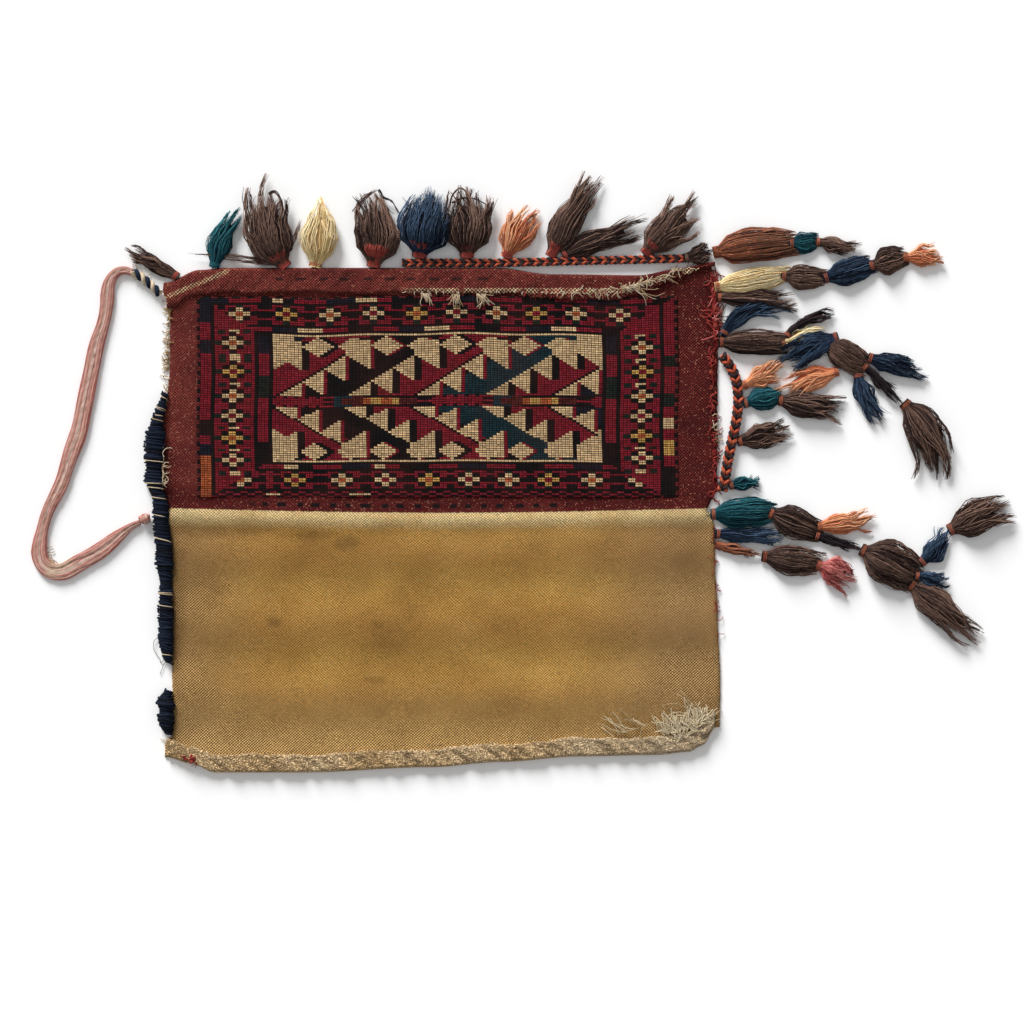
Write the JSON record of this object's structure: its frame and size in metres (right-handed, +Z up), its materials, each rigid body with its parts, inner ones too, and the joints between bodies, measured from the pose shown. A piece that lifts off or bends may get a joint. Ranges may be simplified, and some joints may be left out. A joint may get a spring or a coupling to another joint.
{
  "type": "woven tassel bag, opened out flat",
  "caption": "Old hand-woven wool bag with its seams undone and laid open flat, with a knotted pile front, a plain back, a cloth strap, braids and wool tassels.",
  "frame": {"origin": "underside of the cloth, on the crease between the pile front and the plain back, at the middle of the cloth's width", "axes": "+X from the mouth edge with the strap towards the tasselled edge, +Y from the crease towards the pile front's hem, +Z up from the surface it lies on"},
  "size_m": [0.9285, 0.5701, 0.0176],
  "materials": {
    "amber wool": "matt",
    "braid wool": "matt",
    "brown wool": "matt",
    "dark wool": "matt",
    "navy wool": "matt",
    "orange wool": "matt",
    "pink wool": "matt",
    "red and beige cloth": "matt",
    "strap cotton": "matt",
    "teal wool": "matt",
    "yellow wool": "matt"
  },
  "bodies": {
    "root": {"amber_tuft": "amber wool", "bag_cloth": "red and beige cloth", "big_brown_tuft": "brown wool", "brown_braid_tuft": "brown wool", "brown_bundle": "brown wool", "brown_edge_tuft": "brown wool", "brown_falling_tuft": "brown wool", "brown_fan_tuft": "brown wool", "brown_fourth_tuft": "brown wool", "brown_low_tuft": "brown wool", "brown_lower_tuft": "brown wool", "brown_second_tuft": "brown wool", "brown_top_tassel": "brown wool", "corner_knot": "brown wool", "corner_tuft": "brown wool", "dark_cross_link": "dark wool", "dark_link": "dark wool", "dark_looped_tuft": "dark wool", "first_end_tuft": "brown wool", "last_brown_tuft": "brown wool", "last_top_tassel": "brown wool", "long_end_tuft": "brown wool", "long_tassel_side_lock": "brown wool", "long_top_tassel": "brown wool", "looped_top_tassel": "brown wool", "lower_mouth_binding": "navy wool", "mouth_binding": "navy wool", "navy_arched_tuft": "navy wool", "navy_forked_tuft": "navy wool", "navy_low_tuft": "navy wool", "navy_pointing_tuft": "navy wool", "navy_rising_tuft": "navy wool", "navy_third_tuft": "navy wool", "navy_top_tassel": "navy wool", "navy_under_tuft": "navy wool", "orange_braid_tuft": "orange wool", "orange_fifth_tuft": "orange wool", "orange_lower_tuft": "orange wool", "orange_straight_tuft": "orange wool", "orange_top_tassel": "orange wool", "pink_low_tuft": "pink wool", "short_teal_tuft": "teal wool", "side_braid": "braid wool", "small_navy_tuft": "navy wool", "small_teal_tuft": "teal wool", "strap": "strap cotton", "strap_cord": "dark wool", "strap_knot": "strap cotton", "swept_top_tassel": "brown wool", "teal_braid_tuft": "teal wool", "teal_fan_tuft": "teal wool", "teal_top_tassel": "teal wool", "top_braid": "braid wool", "twisted_low_link": "amber wool", "upper_end_tuft": "brown wool", "yellow_link_tuft": "yellow wool", "yellow_top_tassel": "yellow wool", "yellow_tuft": "yellow wool"}
  },
  "joints": []
}
